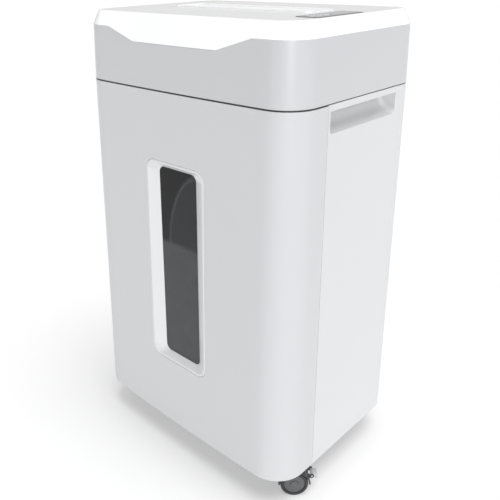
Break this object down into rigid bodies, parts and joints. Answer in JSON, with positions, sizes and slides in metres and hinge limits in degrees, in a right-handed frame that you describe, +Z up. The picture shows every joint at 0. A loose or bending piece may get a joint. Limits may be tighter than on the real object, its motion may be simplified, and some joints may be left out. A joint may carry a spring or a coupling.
{
  "type": "paper shredder",
  "caption": "Upright office paper shredder on casters, with a pull-out bin drawer with a smoked window, side grips and a cutting head under a white cover.",
  "frame": {"origin": "on the floor, under the middle of the object's box", "axes": "+Z up; the front, with the bin window, faces -Y; +X is to the right of someone facing the front"},
  "size_m": [0.4036, 0.2863, 0.6632],
  "materials": {
    "cabinet_white": "satin moulded plastic",
    "drawer_grey": "satin moulded plastic",
    "band_grey": "satin moulded plastic",
    "cover_white": "glossy moulded plastic",
    "bezel_white": "glossy moulded plastic",
    "smoke_pane": "smoke-tinted clear acrylic",
    "panel_black": "polished black panel",
    "display_grey": "polished display lens",
    "key_grey": "fine satin",
    "throat_white": "fine texture",
    "bin_grey": "fine mould texture",
    "base_black": "fine mould texture",
    "caster_black": "satin nylon",
    "wheel_grey": "soft tread",
    "mains_black": "fine texture",
    "contact_metal": "plated blade",
    "plate_steel": "zinc-plated sheet",
    "cutter_steel": "hardened and oiled",
    "shaft_steel": "ground bar",
    "bush_bronze": "sintered bronze",
    "gear_nylon": "greased nylon",
    "gear_steel": "sintered steel",
    "stripper_nylon": "moulded nylon",
    "motor_grey": "painted can",
    "board_green": "coated board",
    "capacitor_grey": "moulded sleeve",
    "screw_zinc": "zinc plate"
  },
  "bodies": {
    "cabinet": {"cabinet_shell": "cabinet_white", "base_plate": "base_black", "runner_left": "base_black", "runner_right": "base_black", "head_tray": "base_black", "head_band": "band_grey", "top_cover": "cover_white", "throat_guide": "throat_white", "control_strip": "panel_black", "display_lens": "display_grey", "side_plate_left": "plate_steel", "side_plate_right": "plate_steel", "tie_rods": "shaft_steel", "shaft_bushes": "bush_bronze", "front_strippers": "stripper_nylon", "rear_strippers": "stripper_nylon", "gear_pins": "shaft_steel", "gear_cover": "base_black", "motor_case": "motor_grey", "circuit_board": "board_green", "motor_capacitor": "capacitor_grey", "drawer_switch": "mains_black", "mains_inlet": "mains_black", "inlet_contacts": "contact_metal", "rocker_housing": "mains_black", "screws": "screw_zinc"},
    "bin_drawer": {"drawer_front": "drawer_grey", "window_bezel": "bezel_white", "window_pane": "smoke_pane", "waste_bin": "bin_grey"},
    "front_cutter": {"front_cutter_shaft": "shaft_steel", "front_cutter_discs": "cutter_steel", "front_spacers": "gear_nylon", "final_gear": "gear_steel", "front_sync_gear": "gear_steel"},
    "rear_cutter": {"rear_cutter_shaft": "shaft_steel", "rear_cutter_discs": "cutter_steel", "rear_spacers": "gear_nylon", "rear_sync_gear": "gear_steel"},
    "second_gear": {"second_reduction_gear": "gear_nylon"},
    "first_gear": {"first_reduction_gear": "gear_nylon"},
    "motor_rotor": {"motor_shaft": "shaft_steel", "motor_pinion": "gear_steel", "motor_fan": "stripper_nylon"},
    "forward_button": {"forward_key": "key_grey"},
    "power_button": {"power_key": "key_grey"},
    "reverse_button": {"reverse_key": "key_grey"},
    "mains_rocker": {"power_rocker": "mains_black"},
    "paper_lever": {"sensor_lever": "stripper_nylon"},
    "drawer_plunger": {"switch_plunger": "key_grey"},
    "front_left_swivel": {"front_left_caster_fork": "caster_black"},
    "front_left_wheel": {"front_left_caster_wheels": "wheel_grey"},
    "front_left_brake": {"front_left_caster_brake": "key_grey"},
    "front_right_swivel": {"front_right_caster_fork": "caster_black"},
    "front_right_wheel": {"front_right_caster_wheels": "wheel_grey"},
    "front_right_brake": {"front_right_caster_brake": "key_grey"},
    "rear_left_swivel": {"rear_left_caster_fork": "caster_black"},
    "rear_left_wheel": {"rear_left_caster_wheels": "wheel_grey"},
    "rear_right_swivel": {"rear_right_caster_fork": "caster_black"},
    "rear_right_wheel": {"rear_right_caster_wheels": "wheel_grey"}
  },
  "joints": [
    {"name": "drawer_slide", "type": "slide", "parent": "cabinet", "child": "bin_drawer", "axis": [0, -1, 0], "range_m": [0, 0.235]},
    {"name": "front_cutter_turn", "type": "hinge", "parent": "cabinet", "child": "front_cutter", "pos_m": [0, -0.009, 0.605], "axis": [1, 0, 0], "continuous": true},
    {"name": "rear_cutter_turn", "type": "hinge", "parent": "cabinet", "child": "rear_cutter", "pos_m": [0, 0.033, 0.605], "axis": [1, 0, 0], "continuous": true},
    {"name": "second_gear_turn", "type": "hinge", "parent": "cabinet", "child": "second_gear", "pos_m": [0, -0.04038, 0.60774], "axis": [1, 0, 0], "continuous": true},
    {"name": "first_gear_turn", "type": "hinge", "parent": "cabinet", "child": "first_gear", "pos_m": [0, -0.07027, 0.60513], "axis": [1, 0, 0], "continuous": true},
    {"name": "motor_turn", "type": "hinge", "parent": "cabinet", "child": "motor_rotor", "pos_m": [0, -0.09961, 0.61137], "axis": [1, 0, 0], "continuous": true},
    {"name": "forward_button_press", "type": "slide", "parent": "cabinet", "child": "forward_button", "axis": [0, 0, -1], "range_m": [0, 0.0012], "stiffness_N_per_m": 400},
    {"name": "power_button_press", "type": "slide", "parent": "cabinet", "child": "power_button", "axis": [0, 0, -1], "range_m": [0, 0.0012], "stiffness_N_per_m": 400},
    {"name": "reverse_button_press", "type": "slide", "parent": "cabinet", "child": "reverse_button", "axis": [0, 0, -1], "range_m": [0, 0.0012], "stiffness_N_per_m": 400},
    {"name": "mains_rocker_tilt", "type": "hinge", "parent": "cabinet", "child": "mains_rocker", "pos_m": [-0.062, 0.13159, 0.593], "axis": [1, 0, 0], "range_deg": [-8, 8]},
    {"name": "paper_lever_swing", "type": "hinge", "parent": "cabinet", "child": "paper_lever", "pos_m": [0, 0, 0.6442], "axis": [-1, 0, 0], "range_deg": [0, 25], "stiffness_Nm_per_rad": 0.01},
    {"name": "drawer_plunger_push", "type": "slide", "parent": "cabinet", "child": "drawer_plunger", "axis": [0, 1, 0], "range_m": [0, 0.003], "stiffness_N_per_m": 150},
    {"name": "front_left_caster_turn", "type": "hinge", "parent": "cabinet", "child": "front_left_swivel", "pos_m": [-0.165, -0.09, 0.0478], "axis": [0, 0, 1], "continuous": true},
    {"name": "front_left_wheel_roll", "type": "hinge", "parent": "front_left_swivel", "child": "front_left_wheel", "pos_m": [-0.17349, -0.08152, 0.02], "axis": [0.7071, 0.7071, 0], "continuous": true},
    {"name": "front_left_brake_press", "type": "hinge", "parent": "front_left_swivel", "child": "front_left_brake", "pos_m": [-0.19187, -0.06313, 0.028], "axis": [-0.7071, -0.7071, 0], "range_deg": [0, 16]},
    {"name": "front_right_caster_turn", "type": "hinge", "parent": "cabinet", "child": "front_right_swivel", "pos_m": [0.165, -0.09, 0.0478], "axis": [0, 0, 1], "continuous": true},
    {"name": "front_right_wheel_roll", "type": "hinge", "parent": "front_right_swivel", "child": "front_right_wheel", "pos_m": [0.17349, -0.08152, 0.02], "axis": [0.7071, -0.7071, 0], "continuous": true},
    {"name": "front_right_brake_press", "type": "hinge", "parent": "front_right_swivel", "child": "front_right_brake", "pos_m": [0.19187, -0.06313, 0.028], "axis": [-0.7071, 0.7071, 0], "range_deg": [0, 16]},
    {"name": "rear_left_caster_turn", "type": "hinge", "parent": "cabinet", "child": "rear_left_swivel", "pos_m": [-0.144, 0.094, 0.0478], "axis": [0, 0, 1], "continuous": true},
    {"name": "rear_left_wheel_roll", "type": "hinge", "parent": "rear_left_swivel", "child": "rear_left_wheel", "pos_m": [-0.138, 0.10439, 0.02], "axis": [0.866, -0.5, 0], "continuous": true},
    {"name": "rear_right_caster_turn", "type": "hinge", "parent": "cabinet", "child": "rear_right_swivel", "pos_m": [0.144, 0.094, 0.0478], "axis": [0, 0, 1], "continuous": true},
    {"name": "rear_right_wheel_roll", "type": "hinge", "parent": "rear_right_swivel", "child": "rear_right_wheel", "pos_m": [0.1399, 0.10528, 0.02], "axis": [0.9397, 0.342, 0], "continuous": true}
  ],
  "couplings": [
    {"joint": "rear_cutter_turn", "follows": "front_cutter_turn", "ratio": -1},
    {"joint": "second_gear_turn", "follows": "front_cutter_turn", "ratio": -2.5},
    {"joint": "first_gear_turn", "follows": "front_cutter_turn", "ratio": 7.5},
    {"joint": "motor_turn", "follows": "front_cutter_turn", "ratio": -37.5}
  ]
}
